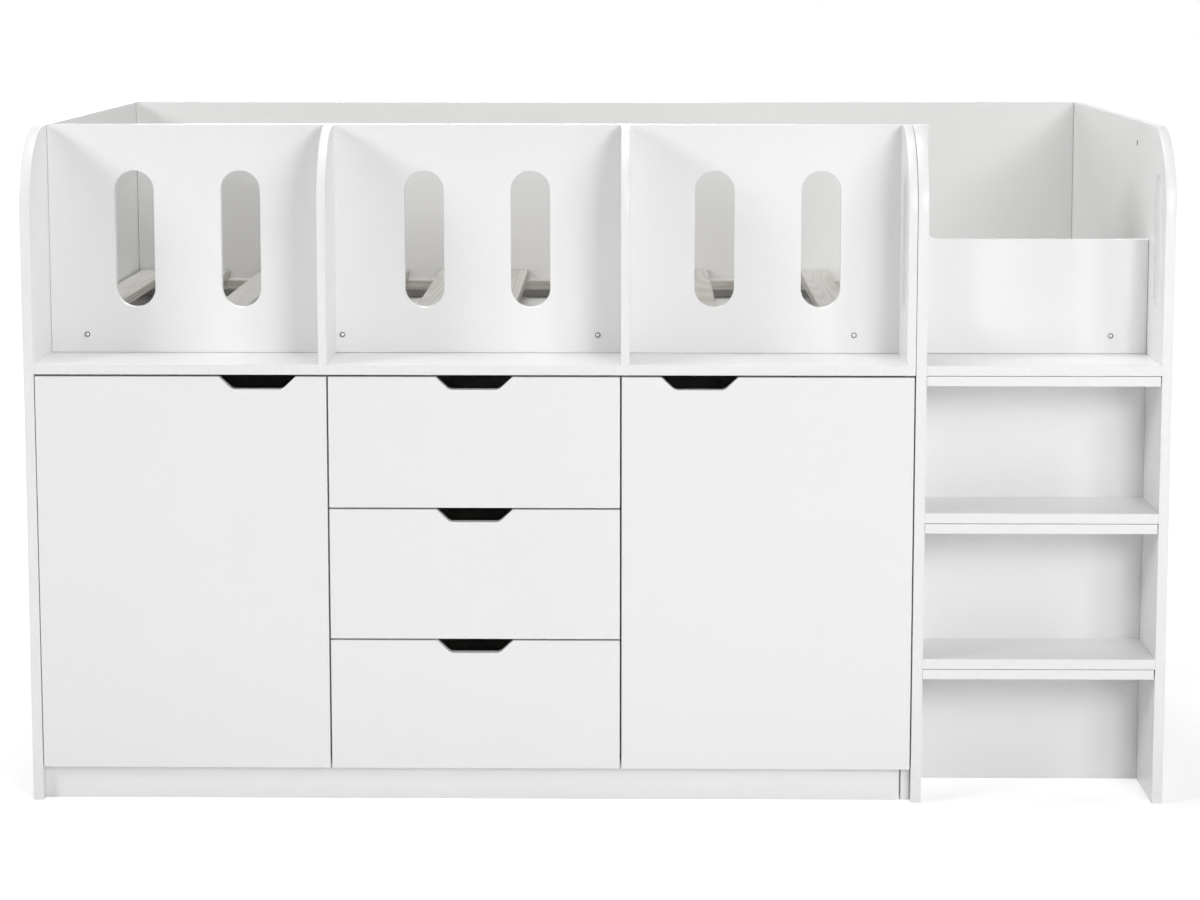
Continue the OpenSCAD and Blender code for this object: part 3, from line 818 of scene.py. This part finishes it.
runner_walls = ((BAY_X[1], "+x", 1), (BAY_X[2], "-x", -1))
fixed_wheels, rail_screws = [], []
for body in ("bottom_drawer", "middle_drawer", "top_drawer"):
    low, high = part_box(body + "_front")
    front_board(body + "_front_board", body + "_front", body, (low[0] + high[0]) / 2)
    for side, facing in (("left", "+x"), ("right", "-x")):
        node = body + "_" + side
        side_low, side_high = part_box(node)
        inner_x = side_high[0] if side == "left" else side_low[0]
        pocket_y = side_low[1] + SIDE_POCKET_IN
        board(node + "_board", node, body, raw=("-z", "+y"),
              drilled=[cam_pocket((inner_x, pocket_y, side_low[2] + up), facing)
                       for up in SIDE_POCKET_UP])
    board(body + "_back_board", body + "_back", body)
    board(body + "_bottom_sheet", body + "_bottom", body, raw=("-z", "+y"), coat=HARDBOARD,
          ease=HARDBOARD_EASE)
    install(copy_of(body + "_runners"), body + "_rails", body, RUNNER_PAINT, body + "_runners")
    wheel_z = low[2] + WHEEL_UP
    wheel_off = RUNNER_W - RAIL_T - WHEEL_W - WHEEL_PLAY
    scatter(body + "_wheels", body, WHEEL_NYLON, wheel(),
            [((x + out * wheel_off, FRONT_Y + MOVING_WHEEL_D, wheel_z), facing)
             for x, facing, out in runner_walls])
    fixed_wheels += [((x + out * RAIL_T, FRONT_Y + FIXED_WHEEL_D, wheel_z), facing)
                     for x, facing, out in runner_walls]
    rail_screws += [((x + out * RAIL_T, FRONT_Y + d, wheel_z + RAIL_SCREW_UP), facing)
                    for x, facing, out in runner_walls for d in RAIL_SCREW_D]
install(copy_of("cabinet_runners"), "cabinet_rails", "frame", RUNNER_PAINT, "cabinet_runners")
scatter("cabinet_rail_wheels", "frame", WHEEL_NYLON, wheel(), fixed_wheels)
scatter("cabinet_rail_screws", "frame", BRIGHT_STEEL,
        head(foot_r=0.0036, top_r=0.0026, height=0.0014), rail_screws)


# ---- Doors ----------------------------------------------------------------------------------
# Two doors hang on concealed hinges: a pressed cup let into the door, a link, and an arm on a
# plate that is screwed to the wall beside it. All of it is nickel-plated steel.

CUP_R, CUP_IN, CUP_DEEP, HINGE_UP, HINGE_EASE = 0.0175, 0.022, 0.012, 0.092, 0.00025
CUP_FLANGE_T, CUP_SCREW_UP = 0.001, 0.0222
PLATE_T, PLATE_SCREW_D, PLATE_SCREW_UP = 0.003, 0.059, 0.016
ARM_SCREW_IN, ARM_SCREW_D = 0.045, (0.050, 0.066)

for side, facing, out, notch_in in (("left", "+x", 1, 0.1195), ("right", "-x", -1, 0.1345)):
    body = side + "_door"
    low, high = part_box(side + "_door")
    hinged_x, opening_x = (low[0], high[0]) if side == "left" else (high[0], low[0])
    cup_x = hinged_x + out * CUP_IN
    hinge_z = (low[2] + HINGE_UP, high[2] - HINGE_UP)
    front_board(side + "_door_board", side + "_door", body, opening_x - out * notch_in,
                cups=[drill((cup_x, high[1], z), "+y", CUP_R, CUP_DEEP, segments=16)
                      for z in hinge_z])
    install(copy_of(side + "_hinge_cups", HINGE_EASE), side + "_hinge_cup_pressings", body,
            BRIGHT_STEEL, side + "_hinge_cups")
    install(copy_of(side + "_hinge_links", HINGE_EASE), side + "_hinge_link_bars",
            side + "_links", BRIGHT_STEEL, side + "_hinge_links")
    install(copy_of(side + "_hinge_arms", HINGE_EASE), side + "_hinge_arm_pressings", "frame",
            BRIGHT_STEEL, side + "_hinge_arms")
    scatter(side + "_hinge_cup_screws", body, BRIGHT_STEEL,
            head(foot_r=0.0038, top_r=0.0030, height=0.0016),
            [((cup_x, high[1] + CUP_FLANGE_T, z + up), "+y")
             for z in hinge_z for up in (-CUP_SCREW_UP, CUP_SCREW_UP)])
    wall_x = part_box(side + "_hinge_arms")[0 if side == "left" else 1][0]
    plate_screws = [((wall_x + out * PLATE_T, FRONT_Y + PLATE_SCREW_D, z + up), facing)
                    for z in hinge_z for up in (-PLATE_SCREW_UP, PLATE_SCREW_UP)]
    arm_screws = [((hinged_x + out * ARM_SCREW_IN, FRONT_Y + d, z), facing)
                  for z in hinge_z for d in ARM_SCREW_D]
    scatter(side + "_hinge_plate_screws", "frame", BRIGHT_STEEL,
            head(foot_r=0.0042, top_r=0.0032, height=0.0016), plate_screws + arm_screws)


# ---- Studio ---------------------------------------------------------------------------------
# A plain white floor keeps the bed's shadow. The main soft lamp stands right of the camera, and
# weaker ones fill in from the other sides and from above. The camera looks slightly down on the
# bed from the front.

def looked_at(tree):
    """1 for what the camera sees, straight or in a shiny face, and 0 for what only gives light."""
    rays = tree.nodes.new("ShaderNodeLightPath").outputs
    return Wire(rays["Is Camera Ray"]) + Wire(rays["Is Glossy Ray"])


# The floor's own glow lifts it to white, less so within SHADE_FROM of the bed's middle.
SHADE_FROM, SHADE_TO, GLOW_NEAR, GLOW_FAR = 1.3, 4.0, 0.42, 0.93


def floor_finish():
    """A dull white sheet that shows a soft shadow near the bed and fades to white far off."""
    made = bpy.data.materials.new("studio_floor")
    made.use_nodes = True
    tree = made.node_tree
    shader = tree.nodes["Principled BSDF"]
    shader.inputs["Base Color"].default_value = (0.88, 0.88, 0.88, 1)
    shader.inputs["Roughness"].default_value = 0.9
    shader.inputs["Specular IOR Level"].default_value = 0.1
    seen = looked_at(tree)
    place = Wire(tree.nodes.new("ShaderNodeTexCoord").outputs["Object"])
    away = place.node("VectorMath", {"operation": "LENGTH"}, {0: place}, out="Value")
    level = away.node("MapRange", {}, {"Value": away, "From Min": SHADE_FROM,
                                       "From Max": SHADE_TO, "To Min": GLOW_NEAR,
                                       "To Max": GLOW_FAR})
    glow = seen.node("Emission", {}, {"Color": (1, 1, 1, 1), "Strength": seen * level})
    both = seen.node("AddShader", {}, {0: Wire(shader.outputs[0]), 1: glow})
    tree.links.new(both.socket, tree.nodes["Material Output"].inputs["Surface"])
    return made


ground = bmesh.new()
bmesh.ops.create_circle(ground, cap_ends=True, segments=64, radius=60)
floor_mesh = bpy.data.meshes.new("studio_floor")
ground.to_mesh(floor_mesh)
ground.free()
floor_mesh.materials.append(floor_finish())
studio_floor = bpy.data.objects.new("studio_floor", floor_mesh)
bpy.context.scene.collection.objects.link(studio_floor)

# The room is white to look at, and lights the bed only faintly.
ROOM_LIGHT = 0.12
world = bpy.data.worlds.new("studio")
bpy.context.scene.world = world
world.use_nodes = True
sky = world.node_tree.nodes["Background"]
sky.inputs["Color"].default_value = (1, 1, 1, 1)
strength = looked_at(world.node_tree) * (1 - ROOM_LIGHT) + ROOM_LIGHT
world.node_tree.links.new(strength.socket, sky.inputs["Strength"])


def lamp(name, at, aim, size, power):
    """A square soft lamp, aimed at a point. Its size is in metres and its power in watts."""
    made = bpy.data.lights.new(name, "AREA")
    made.shape, made.size, made.energy = "SQUARE", size, power
    lit = bpy.data.objects.new(name, made)
    lit.location = at
    lit.rotation_euler = (Vector(aim) - Vector(at)).to_track_quat("-Z", "Y").to_euler()
    bpy.context.scene.collection.objects.link(lit)


lamp("key_softbox", at=(1.55, -4.6, 2.07), aim=(0, -0.5, 0.7), size=1.1, power=65)
lamp("right_softbox", at=(3.07, -4.43, 3.0), aim=(0, -0.5, 0.7), size=0.8, power=27)
lamp("left_softbox", at=(-3.92, -2.77, 2.8), aim=(0, -0.5, 0.7), size=1.2, power=76)
lamp("low_softbox", at=(2.6, -4.2, 0.7), aim=(0.3, -0.5, 0.3), size=1.2, power=15)
lamp("top_softbox", at=(-0.2, 0.1, 4.2), aim=(0, 0, 0.7), size=2.0, power=66)
lamp("rear_softbox", at=(-0.6, 5.6, 2.6), aim=(0, 0.5, 0.7), size=2.0, power=115)
lamp("right_side_softbox", at=(5.2, 0.9, 0.9), aim=(0.99, 0, 0.6), size=1.2, power=45)

# The camera's place, turn and lens were fitted to the bed's straight edges.
EYE, LOOKS_DOWN, LOOKS_LEFT = (0.07164, -5.56495, 1.43818), 0.1282, 0.0131
camera = bpy.data.cameras.new("camera")
camera.sensor_width, camera.lens, camera.shift_y = 36.0, 88.12, -0.08
viewer = bpy.data.objects.new("camera", camera)
viewer.location = EYE
viewer.rotation_euler = (math.pi / 2 - LOOKS_DOWN, 0, LOOKS_LEFT)
bpy.context.scene.collection.objects.link(viewer)
bpy.context.scene.camera = viewer
bpy.context.scene.view_settings.view_transform = "Standard"
